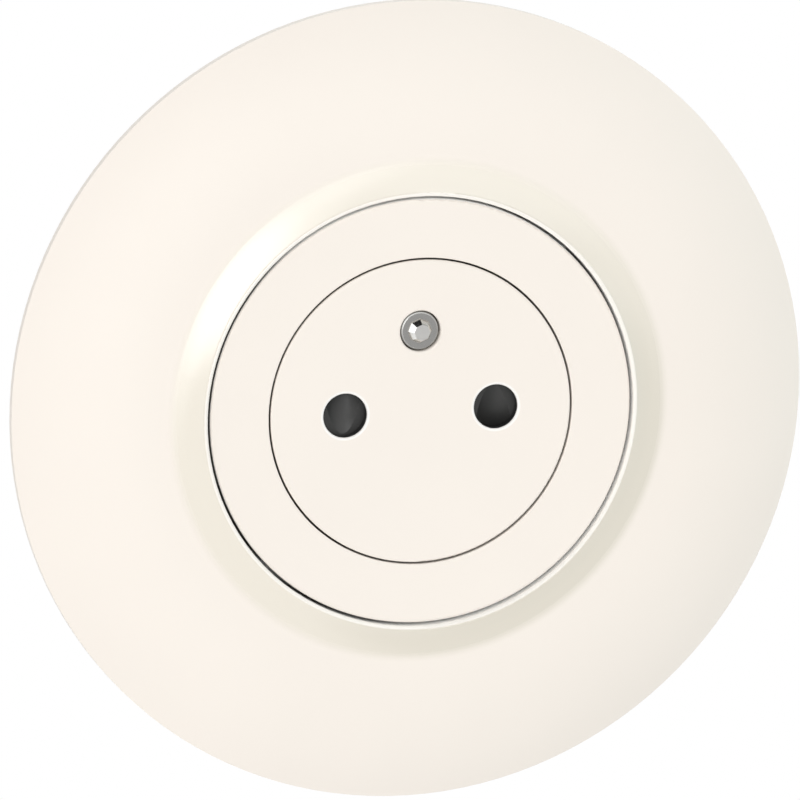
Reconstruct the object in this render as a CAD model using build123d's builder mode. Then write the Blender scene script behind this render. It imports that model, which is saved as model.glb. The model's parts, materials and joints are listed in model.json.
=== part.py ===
from build123d import *
from math import hypot, radians, sin, sqrt
import os

os.makedirs("parts", exist_ok=True)

# Flush wall socket with a retracting well and a shuttered pin face.
# X runs to the right, Z up, and the front faces -Y. The wall plane is y = 0:
# the cover plate stands in front of it and the mechanism goes into the wall box behind it.
# A profile of a turned form is drawn with the radius along X and the depth along Y.

# Pin pattern
pin_spacing = 19.0
pin_hole_d = 5.5
earth_offset = 10.0
earth_pin_d = 4.8
earth_hole_clearance = 0.15

# Cover plate
plate_d = 99.7
rim_height = 1.05
face_proud = 7.4
plate_wall = 1.8
dome_radius = 38.0
crease_d = 63.0
crease_depth = 1.0
crease_blend = 6.0
cove_radius = 17.0
opening_d = 53.7
lip_width = 0.6
lip_proud = 0.3
lip_crown = 0.27
lip_outer_drop = 0.1
lip_inner_drop = 0.25
hub_wall = 1.6
hub_gap = 1.4
rib_count = 12
rib_wall = 1.0
rib_gap = 0.5
wall_root = 0.3

# Clip legs of the cover plate
clip_x = 12.0
clip_z = 27.0
clip_width = 6.0
clip_wall = 1.3
clip_reach = 1.7
clip_barb = 0.7
clip_play = 0.15

# Socket cover and the guide tube of the well
cover_gap = 0.35
ring_wall = 1.6
ring_edge = 0.3
skirt_wall = 1.4
skirt_depth = 4.2
well_gap = 0.25
bore_edge = 0.15
tube_wall = 1.4
tube_tail_gap = 0.6
flange_width = 1.85
flange_wall = 1.2
web_count = 6
web_wall = 1.0
web_depth = 3.0

# Well disc
disc_d = 37.8
disc_wall = 1.1
disc_edge = 0.2
hole_edge = 0.25
disc_skirt_wall = 1.3
carrier_seat = 0.4
lug_count = 3
lug_first_angle = 30
lug_width = 4.0
lug_depth = 1.4
lug_proud = 1.35
lug_side_play = 0.25
lug_front_play = 0.1
travel = 15.0
end_play = 0.4

# Turning shutter and its carrier
shutter_turn = 36.0
rotor_wall = 2.9
rotor_play = 0.3
rotor_edge_play = 0.5
rotor_hole_d = 5.8
rotor_bore_play = 0.05
ramp_depth = 2.0
ramp_radius = 2.9
ramp_start = 2.5
earth_slot_play = 0.4
hub_d = 6.0
carrier_wall = 1.6
carrier_edge_play = 0.05
carrier_pin_hole_d = 6.0
spring_seat_height = 2.2
shutter_wire = 0.5
shutter_coil_r = 4.3
shutter_coil_turns = 2.0
shutter_coil_pitch = 0.58
shutter_leg = 2.4
shutter_recess_r = 5.6
shutter_recess_depth = 1.6
shutter_end_play = 0.05

# Return spring of the well
return_wire = 0.8
return_coil_r = 3.6
return_pitch = 3.3
return_end_play = 0.05
spring_seat_play = 0.3
spring_pocket_play = 0.6

# Body
body_wall = 1.8
body_corner = 8.0
body_edge = 0.8
well_bore_play = 0.65
block_depth = 14.3
block_front_wall = 1.3
spring_floor = 2.5
rear_wall = 2.5
screw_head_gap = 0.43
screw_tip_edge = 0.5
screw_gap = 1.5
body_screw_d = 2.2
screw_play = 0.1

# Yoke
yoke_corner = 6.0
yoke_slot_edge = 1.5
yoke_edge_gap = 1.7
yoke_wall = 1.0
yoke_hole_play = 0.45
box_screw_spacing = 60.0
box_slot_width = 4.2
box_slot_length = 8.0
window_play = 0.5
yoke_screw_d = 2.4
yoke_screw_length = 5.0
yoke_head_d = 4.4
yoke_head_height = 1.1
yoke_head_edge = 0.4
driver_slot = 0.6

# Pin contacts
contact_wall = 0.8
contact_width = 6.0
contact_pinch = 4.4
contact_mouth = 7.0
contact_root = 6.4
contact_length = 9.8
contact_front_play = 0.6
contact_pinch_depth = 2.6
contact_bend = 0.7
contact_pocket_height = 10.4
clip_band_wall = 0.4
clip_band_depth = 2.0
clip_band_play = 0.15
clip_band_rise = 0.65
contact_side_play = 0.15
strap_side_play = 0.2
strap_play = 0.1
post_edge = 0.5
post_play = 0.1

# Terminals
terminal_x = 10.1
terminal_z = -10.2
earth_terminal_z = 13.4
terminal_width = 9.2
terminal_plate_length = 8.3
terminal_pocket_width = 10.0
terminal_pocket_height = 8.0
terminal_pocket_depth = 11.5
wire_hole_d = 2.8
wire_hole_x = 3.4
wire_hole_z = 1.6
wire_funnel = 0.4
clamp_wall = 0.4
clamp_width = 9.0
clamp_bend = 0.9
clamp_floor_play = 0.05
clamp_start = 1.0
clamp_knee = 4.6
clamp_tongue = 6.0
clamp_tip_gap = 0.2
clamp_rear_play = 0.2
release_width = 2.4
release_height = 4.0
release_z = 3.2
release_window_play = 0.2
release_proud = 1.5
release_flange = 0.5
release_flange_wall = 1.1
release_edge = 0.35
release_nose_depth = 2.2
release_nose_z = 2.6
release_nose_step = 1.0

# Earth pin and strap
earth_pin_sunk = 0.4
earth_pin_edge = 0.25
facet_base_d = 3.1
facet_tip_d = 2.0
facet_height = 1.2
facet_count = 8
earth_flange_d = 6.8
earth_flange_wall = 0.8
earth_flange_depth = 3.0
earth_bore_play = 0.05
earth_pocket_gap = 1.0
earth_strap_width = 8.0
rivet_d = 3.6
rivet_play = 0.05
rivet_head_d = 4.4
rivet_head_height = 0.7
rivet_head_edge = 0.5
strap_overlap = 0.6

# Radii and depths that follow from the sizes above
plate_r = plate_d / 2
crease_r = crease_d / 2
opening_r = opening_d / 2
ring_r = opening_r - cover_gap
disc_r = disc_d / 2
bore_r = disc_r + well_gap
tube_r = bore_r + tube_wall
flange_r = tube_r + flange_width
well_r = tube_r + well_bore_play
body_side = 2 * (well_r + body_wall)
screw_offset = (flange_r + screw_head_gap + yoke_head_d / 2) / sqrt(2)
yoke_side = box_screw_spacing + box_slot_length + 2 * yoke_slot_edge
cavity_r = disc_r - disc_skirt_wall
seat_r = cavity_r + carrier_seat
hub_r = hub_d / 2

face_y = -face_proud
crease_y = face_y + crease_depth
disc_rear_y = face_y + disc_wall
rotor_front_y = disc_rear_y + rotor_play
rotor_rear_y = rotor_front_y + rotor_wall
carrier_front_y = rotor_rear_y + rotor_play
carrier_rear_y = carrier_front_y + carrier_wall
block_front_y = carrier_rear_y + travel + end_play
tube_rear_y = block_front_y - tube_tail_gap
contact_floor_y = block_front_y + block_front_wall
block_rear_y = block_front_y + block_depth
spring_floor_y = block_rear_y - spring_floor
rear_y = block_rear_y + rear_wall

contact_x = pin_spacing / 2
contact_front_y = contact_floor_y + contact_front_play
contact_rear_y = contact_front_y + contact_length
terminal_floor_y = block_rear_y - terminal_pocket_depth


def at_depth(y):
    """Sketch plane that faces the room, y behind the wall plane; X and Z are its own x and y."""
    return Plane.XZ.offset(-y)


def arc_middle(start, end, radius):
    """Middle point of the arc from start to end that bulges to its left."""
    run_x = end[0] - start[0]
    run_y = end[1] - start[1]
    chord = hypot(run_x, run_y)
    rise = radius - sqrt(radius**2 - (chord / 2) ** 2)
    return (
        (start[0] + end[0]) / 2 - rise * run_y / chord,
        (start[1] + end[1]) / 2 + rise * run_x / chord,
    )


# Cover plate: one turned section from the rim over the dome, the cove and the lip into the hub
rim_front = (plate_r, -rim_height)
crease = (crease_r, crease_y)
dome_chord = hypot(plate_r - crease_r, crease_y + rim_height)
dome_reach = sqrt(dome_radius**2 - (dome_chord / 2) ** 2)
dome_x = (plate_r + crease_r) / 2 + dome_reach * (crease_y + rim_height) / dome_chord
dome_y = (crease_y - rim_height) / 2 + dome_reach * (plate_r - crease_r) / dome_chord


def dome_depth(x, radius):
    """Depth, x from the axis, of an arc of that radius round the dome's centre."""
    return dome_y - sqrt(radius**2 - (x - dome_x) ** 2)


def dome_width(y, radius):
    """Distance from the axis, at depth y, of an arc of that radius round the dome's centre."""
    return dome_x + sqrt(radius**2 - (dome_y - y) ** 2)


inner_radius = dome_radius - plate_wall
hub_outer_r = opening_r + hub_wall
inner_top = (hub_outer_r, dome_depth(hub_outer_r, inner_radius))
inner_rim = (dome_width(0, inner_radius), 0)
yoke_reach = dome_width(-yoke_wall, inner_radius) - yoke_edge_gap
lip_y = face_y - lip_proud
lip_outer = (opening_r + lip_width, lip_y + lip_outer_drop)
lip_inner = (opening_r, lip_y + lip_inner_drop)
lip_top = (opening_r + lip_crown, lip_y)
hub_rear_y = -yoke_wall - hub_gap

# The ribs run from the hub to the rim, their roots a little way into the plate's wall
root_radius = inner_radius + wall_root
root_x = hub_outer_r - wall_root
root_top = (root_x, dome_depth(root_x, root_radius))
root_rim = (dome_width(0, root_radius), 0)
with BuildPart() as ribs:
    with BuildSketch(at_depth(-yoke_wall - rib_gap)):
        with PolarLocations(0, rib_count, start_angle=180 / rib_count):
            with Locations((root_x, 0)):
                Rectangle(plate_r - root_x, rib_wall, align=(Align.MIN, Align.CENTER))
    extrude(amount=face_proud)
    with BuildSketch(Plane.XY):
        with BuildLine():
            Line((0, 0), root_rim)
            ThreePointArc(root_rim, arc_middle(root_rim, root_top, root_radius), root_top)
            Line(root_top, (0, root_top[1]))
            Line((0, root_top[1]), (0, 0))
        make_face()
    revolve(axis=Axis.Y, mode=Mode.INTERSECT)

with BuildPart() as cover_plate:
    with BuildSketch(Plane.XY) as plate_profile:
        with BuildLine():
            Line(inner_rim, (plate_r, 0))
            Line((plate_r, 0), rim_front)
            ThreePointArc(rim_front, arc_middle(rim_front, crease, dome_radius), crease)
            ThreePointArc(crease, arc_middle(lip_outer, crease, cove_radius), lip_outer)
            ThreePointArc(lip_outer, lip_top, lip_inner)
            Line(lip_inner, (opening_r, hub_rear_y))
            Line((opening_r, hub_rear_y), (hub_outer_r, hub_rear_y))
            Line((hub_outer_r, hub_rear_y), inner_top)
            ThreePointArc(inner_top, arc_middle(inner_rim, inner_top, inner_radius), inner_rim)
        make_face()
        fillet(plate_profile.vertices().sort_by_distance((*crease, 0))[0], radius=crease_blend)
    revolve(axis=Axis.Y)
    add(ribs.part)
    # The four legs reach through the yoke's windows, with a barb behind it
    with BuildSketch(at_depth(clip_reach)):
        with GridLocations(2 * clip_x, 2 * clip_z, 2, 2):
            Rectangle(clip_width, clip_wall)
    extrude(amount=clip_reach - inner_top[1] + wall_root)
    for side in (-1, 1):
        with BuildSketch(Plane.YZ):
            with BuildLine():
                Polyline(
                    (clip_play, side * clip_z),
                    (clip_play, side * (clip_z + clip_wall / 2 + clip_barb)),
                    (clip_reach, side * (clip_z + clip_wall / 2)),
                    (clip_reach, side * clip_z),
                    close=True,
                )
            make_face()
        extrude(amount=clip_x + clip_width / 2, both=True)
    # The barbs belong to the legs alone, so the strip between two legs comes out
    with BuildSketch(at_depth(clip_reach)):
        with GridLocations(0, 2 * clip_z, 1, 2):
            Rectangle(2 * clip_x - clip_width, 2 * clip_wall + 2 * clip_barb)
    extrude(amount=clip_reach, mode=Mode.SUBTRACT)

cover_plate.part.label = "cover_plate"
export_step(cover_plate.part, "parts/cover_plate.step")

# Socket cover: the round front, its skirt, the guide tube and the flange that sits on the yoke
with BuildPart() as socket_cover:
    with BuildSketch(Plane.XY) as cover_profile:
        with BuildLine():
            Polyline(
                (bore_r, face_y),
                (ring_r, face_y),
                (ring_r, face_y + skirt_depth),
                (ring_r - skirt_wall, face_y + skirt_depth),
                (ring_r - skirt_wall, face_y + ring_wall),
                (tube_r, face_y + ring_wall),
                (tube_r, -yoke_wall - flange_wall),
                (flange_r, -yoke_wall - flange_wall),
                (flange_r, -yoke_wall),
                (tube_r, -yoke_wall),
                (tube_r, tube_rear_y),
                (bore_r, tube_rear_y),
                close=True,
            )
        make_face()
        outer_corner = cover_profile.vertices().group_by(Axis.Y)[0].sort_by(Axis.X)[-1]
        fillet(outer_corner, radius=ring_edge)
        bore_corner = cover_profile.vertices().group_by(Axis.Y)[0].sort_by(Axis.X)[0]
        fillet(bore_corner, radius=bore_edge)
    revolve(axis=Axis.Y)
    with BuildSketch(at_depth(face_y + ring_wall + web_depth)):
        with PolarLocations(0, web_count):
            with Locations((tube_r - wall_root, 0)):
                Rectangle(
                    ring_r - skirt_wall - tube_r + 2 * wall_root,
                    web_wall,
                    align=(Align.MIN, Align.CENTER),
                )
    extrude(amount=web_depth + wall_root)
    # Slots in the tube that guide the lugs of the disc and stop it at the front
    lug_front_y = carrier_rear_y - lug_depth
    with BuildSketch(at_depth(tube_rear_y)):
        with PolarLocations(0, lug_count, start_angle=lug_first_angle):
            Rectangle(tube_r, lug_width + 2 * lug_side_play, align=(Align.MIN, Align.CENTER))
    extrude(amount=tube_rear_y - lug_front_y + lug_front_play, mode=Mode.SUBTRACT)

socket_cover.part.label = "socket_cover"
export_step(socket_cover.part, "parts/socket_cover.step")

# Well disc: the pin face with a skirt round the shutter, and lugs that run in the tube's slots
with BuildPart() as well_disc:
    with BuildSketch(Plane.XY) as disc_profile:
        with BuildLine():
            Polyline(
                (0, face_y),
                (disc_r, face_y),
                (disc_r, carrier_rear_y),
                (seat_r + carrier_edge_play, carrier_rear_y),
                (seat_r + carrier_edge_play, carrier_front_y),
                (cavity_r, carrier_front_y),
                (cavity_r, disc_rear_y),
                (0, disc_rear_y),
                close=True,
            )
        make_face()
        fillet(disc_profile.vertices().group_by(Axis.Y)[0].sort_by(Axis.X)[-1], radius=disc_edge)
    revolve(axis=Axis.Y)
    with BuildSketch(at_depth(carrier_rear_y)):
        with PolarLocations(0, lug_count, start_angle=lug_first_angle):
            with Locations((disc_r - disc_skirt_wall / 2, 0)):
                Rectangle(
                    disc_skirt_wall / 2 + lug_proud, lug_width, align=(Align.MIN, Align.CENTER)
                )
    extrude(amount=lug_depth)
    with BuildSketch(at_depth(disc_rear_y)):
        with GridLocations(pin_spacing, 0, 2, 1):
            Circle(pin_hole_d / 2)
        with Locations((0, earth_offset)):
            Circle(earth_pin_d / 2 + earth_hole_clearance)
    extrude(amount=disc_wall, mode=Mode.SUBTRACT)
    front_face = well_disc.faces().sort_by(Axis.Y)[0]
    fillet(front_face.inner_wires().edges(), radius=hole_edge)

well_disc.part.label = "well_disc"
export_step(well_disc.part, "parts/well_disc.step")

# Shutter rotor: a turning disc with a ramp behind each pin hole and its openings one turn away
rotor_r = cavity_r - rotor_edge_play
earth_pin_way = CenterArc((0, 0), earth_offset, 90 - shutter_turn, shutter_turn)
# The ramp is a round trough that sinks below the rotor's face along the way of the plug pin
ramp_run = ramp_start + contact_x * sin(radians(shutter_turn))
ramp_length = hypot(ramp_run, ramp_depth)
trough_way = Vector(0, ramp_depth, -ramp_run).normalized()
trough_up = Vector(0, -ramp_run, -ramp_depth).normalized()
trough_center = Vector(contact_x, rotor_front_y, ramp_start) + trough_up * ramp_radius
with BuildPart() as ramp:
    with BuildSketch(Plane(origin=trough_center, x_dir=(1, 0, 0), z_dir=trough_way)):
        Circle(ramp_radius)
    extrude(amount=ramp_length)

with BuildPart() as shutter_rotor:
    with BuildSketch(at_depth(rotor_rear_y)):
        Circle(rotor_r)
        Circle(hub_r + rotor_bore_play, mode=Mode.SUBTRACT)
        with PolarLocations(contact_x, 2, start_angle=-shutter_turn):
            Circle(rotor_hole_d / 2, mode=Mode.SUBTRACT)
        SlotArc(earth_pin_way, earth_pin_d + 2 * earth_slot_play, mode=Mode.SUBTRACT)
    extrude(amount=rotor_wall)
    add(ramp.part, mode=Mode.SUBTRACT)
    add(ramp.part, rotation=(0, 180, 0), mode=Mode.SUBTRACT)
    with BuildSketch(at_depth(rotor_rear_y)):
        Circle(shutter_recess_r)
    extrude(amount=shutter_recess_depth, mode=Mode.SUBTRACT)

shutter_rotor.part.label = "shutter_rotor"
export_step(shutter_rotor.part, "parts/shutter_rotor.step")

# Shutter carrier: closes the disc pack, carries the rotor's hub and centres the return spring
spring_seat_r = return_coil_r - return_wire / 2 - spring_seat_play
with BuildPart() as shutter_carrier:
    with BuildSketch(at_depth(carrier_rear_y)):
        Circle(seat_r)
    extrude(amount=carrier_wall)
    with BuildSketch(at_depth(carrier_front_y)):
        Circle(hub_r)
    extrude(amount=carrier_front_y - disc_rear_y)
    with BuildSketch(at_depth(carrier_rear_y + spring_seat_height)):
        Circle(spring_seat_r)
    extrude(amount=spring_seat_height)
    with BuildSketch(at_depth(carrier_rear_y)):
        with GridLocations(pin_spacing, 0, 2, 1):
            Circle(carrier_pin_hole_d / 2)
        with Locations((0, earth_offset)):
            Circle(earth_pin_d / 2 + earth_slot_play)
    extrude(amount=carrier_wall, mode=Mode.SUBTRACT)

shutter_carrier.part.label = "shutter_carrier"
export_step(shutter_carrier.part, "parts/shutter_carrier.step")

# Shutter spring: a torsion spring round the hub, in the rotor's recess
shutter_coil_height = shutter_coil_turns * shutter_coil_pitch
shutter_coil_y = carrier_front_y - shutter_wire / 2 - shutter_end_play
with BuildPart() as shutter_spring:
    with BuildLine() as shutter_coil:
        Helix(
            shutter_coil_pitch,
            shutter_coil_height,
            shutter_coil_r,
            center=(0, shutter_coil_y, 0),
            direction=(0, -1, 0),
        )
    coil_start = shutter_coil.line @ 0
    coil_end = shutter_coil.line @ 1
    start_way = shutter_coil.line % 0
    end_way = shutter_coil.line % 1
    with BuildSketch(Plane(origin=coil_start, z_dir=start_way)):
        Circle(shutter_wire / 2)
    sweep(is_frenet=True)
    with BuildSketch(Plane(origin=coil_start, z_dir=start_way)):
        Circle(shutter_wire / 2)
    extrude(amount=-shutter_leg)
    with BuildSketch(Plane(origin=coil_end, z_dir=end_way)):
        Circle(shutter_wire / 2)
    extrude(amount=shutter_leg)

shutter_spring.part.label = "shutter_spring"
export_step(shutter_spring.part, "parts/shutter_spring.step")

# Return spring: pushes the disc pack to the front
return_start_y = carrier_rear_y + return_wire / 2 + return_end_play
return_length = spring_floor_y - return_wire / 2 - return_end_play - return_start_y
with BuildPart() as return_spring:
    with BuildLine() as return_coil:
        Helix(
            return_pitch,
            return_length,
            return_coil_r,
            center=(0, return_start_y, 0),
            direction=(0, 1, 0),
        )
    with BuildSketch(Plane(origin=return_coil.line @ 0, z_dir=return_coil.line % 0)):
        Circle(return_wire / 2)
    sweep(is_frenet=True)

return_spring.part.label = "return_spring"
export_step(return_spring.part, "parts/return_spring.step")

# Yoke: pressed steel plate with the box-screw slots and the windows for the cover plate's legs
with BuildPart() as yoke:
    with BuildSketch(at_depth(0)):
        RectangleRounded(yoke_side, yoke_side, yoke_corner)
        Circle(yoke_reach, mode=Mode.INTERSECT)
        Circle(tube_r + yoke_hole_play, mode=Mode.SUBTRACT)
        with GridLocations(box_screw_spacing, 0, 2, 1):
            SlotOverall(box_slot_length, box_slot_width, mode=Mode.SUBTRACT)
        with GridLocations(0, box_screw_spacing, 1, 2):
            SlotOverall(box_slot_length, box_slot_width, rotation=90, mode=Mode.SUBTRACT)
        with GridLocations(2 * clip_x, 2 * clip_z, 2, 2):
            Rectangle(
                clip_width + 2 * window_play, clip_wall + 2 * clip_barb, mode=Mode.SUBTRACT
            )
        with GridLocations(2 * screw_offset, 2 * screw_offset, 2, 2):
            Circle(yoke_screw_d / 2 + screw_play, mode=Mode.SUBTRACT)
    extrude(amount=yoke_wall)

yoke.part.label = "yoke"
export_step(yoke.part, "parts/yoke.step")

# Housing: front half of the body, bored for the guide tube
with BuildPart() as housing:
    with BuildSketch(at_depth(block_front_y)):
        RectangleRounded(body_side, body_side, body_corner)
        Circle(well_r, mode=Mode.SUBTRACT)
        with GridLocations(2 * screw_offset, 2 * screw_offset, 2, 2):
            Circle(yoke_screw_d / 2 + screw_play, mode=Mode.SUBTRACT)
    extrude(amount=block_front_y)

housing.part.label = "housing"
export_step(housing.part, "parts/housing.step")

# Contact block: pockets open to the rear for the pin contacts, the terminals and the earth strap
terminals = (
    (-terminal_x, terminal_z, -1),
    (terminal_x, terminal_z, -1),
    (0, earth_terminal_z, 1),
)
strap_floor_y = contact_rear_y - contact_wall - strap_play
earth_flange_y = block_front_y + earth_flange_depth
spring_pocket_r = return_coil_r + return_wire / 2 + spring_pocket_play
earth_pocket_low = spring_pocket_r + earth_pocket_gap
with BuildPart() as contact_block:
    with BuildSketch(at_depth(block_rear_y)):
        RectangleRounded(body_side, body_side, body_corner)
        with GridLocations(2 * screw_offset, 2 * screw_offset, 2, 2):
            Circle(body_screw_d / 2 + screw_play, mode=Mode.SUBTRACT)
    extrude(amount=block_depth)
    with BuildSketch(at_depth(spring_floor_y)):
        Circle(spring_pocket_r)
    extrude(amount=spring_floor_y - block_front_y, mode=Mode.SUBTRACT)
    with BuildSketch(at_depth(contact_floor_y)):
        with GridLocations(pin_spacing, 0, 2, 1):
            Circle(carrier_pin_hole_d / 2)
    extrude(amount=block_front_wall, mode=Mode.SUBTRACT)
    with BuildSketch(at_depth(earth_flange_y)):
        with Locations((0, earth_offset)):
            Circle(earth_pin_d / 2 + earth_bore_play)
    extrude(amount=earth_flange_y - block_front_y, mode=Mode.SUBTRACT)
    # Pockets of the pin contacts and their straps down to the terminals
    pocket_width = contact_width + 2 * (clip_band_wall + clip_band_play + contact_side_play)
    with BuildSketch(at_depth(block_rear_y)):
        with GridLocations(pin_spacing, 0, 2, 1):
            Rectangle(pocket_width, contact_pocket_height)
    extrude(amount=block_rear_y - contact_floor_y, mode=Mode.SUBTRACT)
    with BuildSketch(at_depth(block_rear_y)):
        with GridLocations(pin_spacing, 0, 2, 1):
            Rectangle(
                contact_width + 2 * strap_side_play,
                -terminal_z,
                align=(Align.CENTER, Align.MAX),
            )
    extrude(amount=block_rear_y - strap_floor_y, mode=Mode.SUBTRACT)
    # Pocket of the earth strap
    with BuildSketch(at_depth(block_rear_y)):
        with Locations((0, earth_pocket_low)):
            Rectangle(
                terminal_pocket_width,
                earth_terminal_z - earth_pocket_low,
                align=(Align.CENTER, Align.MIN),
            )
    extrude(amount=block_rear_y - earth_flange_y, mode=Mode.SUBTRACT)
    # Pockets of the three terminals
    for center_x, plate_z, side in terminals:
        inner_z = plate_z - side * (contact_wall + strap_play)
        outer_z = plate_z + side * terminal_pocket_height
        with BuildSketch(at_depth(block_rear_y)):
            with Locations((center_x, (inner_z + outer_z) / 2)):
                Rectangle(terminal_pocket_width, abs(outer_z - inner_z))
        extrude(amount=terminal_pocket_depth, mode=Mode.SUBTRACT)

contact_block.part.label = "contact_block"
export_step(contact_block.part, "parts/contact_block.step")

# Rear cover: wire entries, release windows, countersunk screws and posts behind the pin contacts
head_r = body_screw_d
with BuildPart() as rear_cover:
    with BuildSketch(at_depth(rear_y)):
        RectangleRounded(body_side, body_side, body_corner)
        with GridLocations(2 * screw_offset, 2 * screw_offset, 2, 2):
            Circle(body_screw_d / 2 + screw_play, mode=Mode.SUBTRACT)
        for center_x, plate_z, side in terminals:
            with Locations((center_x, plate_z + side * wire_hole_z)):
                with GridLocations(2 * wire_hole_x, 0, 2, 1):
                    Circle(wire_hole_d / 2, mode=Mode.SUBTRACT)
            with Locations((center_x, plate_z + side * release_z)):
                Rectangle(
                    release_width + 2 * release_window_play,
                    release_height + 2 * release_window_play,
                    mode=Mode.SUBTRACT,
                )
    extrude(amount=rear_wall)
    rear_face = rear_cover.faces().sort_by(Axis.Y)[-1]
    chamfer(rear_face.outer_wire().edges(), length=body_edge)
    # Funnels that lead the wires into their entries
    with BuildSketch(at_depth(rear_y)):
        for center_x, plate_z, side in terminals:
            with Locations((center_x, plate_z + side * wire_hole_z)):
                with GridLocations(2 * wire_hole_x, 0, 2, 1):
                    Circle(wire_hole_d / 2 + wire_funnel)
    extrude(amount=wire_funnel, taper=45, mode=Mode.SUBTRACT)
    with BuildSketch(at_depth(block_rear_y)):
        with GridLocations(pin_spacing, 0, 2, 1):
            Circle(contact_width / 2 - post_edge)
    extrude(amount=block_rear_y - contact_rear_y - post_play)
    for corner_x in (-screw_offset, screw_offset):
        for corner_z in (-screw_offset, screw_offset):
            with BuildSketch(Plane(origin=(corner_x, 0, corner_z))) as sink:
                with BuildLine():
                    Polyline(
                        (0, rear_y),
                        (head_r + screw_play, rear_y),
                        (body_screw_d / 2 + screw_play, rear_y - head_r + body_screw_d / 2),
                        (0, rear_y - head_r + body_screw_d / 2),
                        close=True,
                    )
                make_face()
            revolve(axis=Axis((corner_x, 0, corner_z), (0, 1, 0)), mode=Mode.SUBTRACT)

rear_cover.part.label = "rear_cover"
export_step(rear_cover.part, "parts/rear_cover.step")

# Screws: four from the front hold the yoke, four long ones from the rear hold the body together
body_screw_tip_y = yoke_screw_length + screw_gap
with BuildPart() as yoke_screws:
    for corner_x in (-screw_offset, screw_offset):
        for corner_z in (-screw_offset, screw_offset):
            with BuildSketch(Plane(origin=(corner_x, 0, corner_z))):
                with BuildLine():
                    Polyline(
                        (0, -yoke_wall - yoke_head_height),
                        (yoke_head_d / 2 - yoke_head_edge, -yoke_wall - yoke_head_height),
                        (yoke_head_d / 2, -yoke_wall - yoke_head_height + yoke_head_edge),
                        (yoke_head_d / 2, -yoke_wall),
                        (yoke_screw_d / 2, -yoke_wall),
                        (yoke_screw_d / 2, yoke_screw_length - screw_tip_edge),
                        (yoke_screw_d / 2 - screw_tip_edge, yoke_screw_length),
                        (0, yoke_screw_length),
                        close=True,
                    )
                make_face()
            revolve(axis=Axis((corner_x, 0, corner_z), (0, 1, 0)))
    with BuildSketch(at_depth(-yoke_wall - yoke_head_height / 2)):
        with GridLocations(2 * screw_offset, 2 * screw_offset, 2, 2):
            Rectangle(yoke_head_d, driver_slot, rotation=45)
    extrude(amount=yoke_head_height, mode=Mode.SUBTRACT)

yoke_screws.part.label = "yoke_screws"
export_step(yoke_screws.part, "parts/yoke_screws.step")

with BuildPart() as body_screws:
    for corner_x in (-screw_offset, screw_offset):
        for corner_z in (-screw_offset, screw_offset):
            with BuildSketch(Plane(origin=(corner_x, 0, corner_z))):
                with BuildLine():
                    Polyline(
                        (0, rear_y),
                        (head_r, rear_y),
                        (body_screw_d / 2, rear_y - head_r + body_screw_d / 2),
                        (body_screw_d / 2, body_screw_tip_y + screw_tip_edge),
                        (body_screw_d / 2 - screw_tip_edge, body_screw_tip_y),
                        (0, body_screw_tip_y),
                        close=True,
                    )
                make_face()
            revolve(axis=Axis((corner_x, 0, corner_z), (0, 1, 0)))
    with BuildSketch(at_depth(rear_y)):
        with GridLocations(2 * screw_offset, 2 * screw_offset, 2, 2):
            Rectangle(2 * head_r, driver_slot, rotation=45)
    extrude(amount=driver_slot, mode=Mode.SUBTRACT)

body_screws.part.label = "body_screws"
export_step(body_screws.part, "parts/body_screws.step")


def pin_contact(side):
    """Folded strip: two sprung leaves round the plug pin, a strap and the terminal plate."""
    half_wall = contact_wall / 2
    pinch_y = contact_front_y + contact_pinch_depth
    root_y = contact_rear_y - half_wall
    plate_line_z = terminal_z + half_wall
    with BuildPart() as contact:
        with BuildSketch(Plane.YZ.offset(side * contact_x)):
            with BuildLine():
                FilletPolyline(
                    (contact_front_y, contact_mouth / 2 + half_wall),
                    (pinch_y, contact_pinch / 2 + half_wall),
                    (root_y, contact_root / 2 + half_wall),
                    (root_y, -contact_root / 2 - half_wall),
                    (pinch_y, -contact_pinch / 2 - half_wall),
                    (contact_front_y, -contact_mouth / 2 - half_wall),
                    radius=contact_bend,
                )
            trace(line_width=contact_wall)
            with BuildLine():
                FilletPolyline(
                    (root_y, 0),
                    (root_y, plate_line_z),
                    (root_y - terminal_plate_length + half_wall, plate_line_z),
                    radius=contact_bend,
                )
            trace(line_width=contact_wall)
        extrude(amount=contact_width / 2, both=True)
        with BuildSketch(at_depth(root_y - contact_bend)):
            with Locations((side * terminal_x, plate_line_z)):
                Rectangle(terminal_width, contact_wall)
        extrude(amount=terminal_plate_length - contact_bend - half_wall)
    return contact.part


line_contact = pin_contact(-1)
line_contact.label = "line_contact"
export_step(line_contact, "parts/line_contact.step")

neutral_contact = pin_contact(1)
neutral_contact.label = "neutral_contact"
export_step(neutral_contact, "parts/neutral_contact.step")

# Contact clips: a steel band round the leaves of each pin contact
band_half_x = contact_width / 2 + clip_band_play
band_half_z = contact_pinch / 2 + contact_wall + clip_band_rise
band_y = contact_front_y + contact_pinch_depth + clip_band_depth / 2
with BuildPart() as contact_clips:
    with BuildSketch(at_depth(band_y)):
        with GridLocations(pin_spacing, 0, 2, 1):
            Rectangle(2 * (band_half_x + clip_band_wall), 2 * (band_half_z + clip_band_wall))
            Rectangle(2 * band_half_x, 2 * band_half_z, mode=Mode.SUBTRACT)
    extrude(amount=clip_band_depth)

contact_clips.part.label = "contact_clips"
export_step(contact_clips.part, "parts/contact_clips.step")

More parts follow.
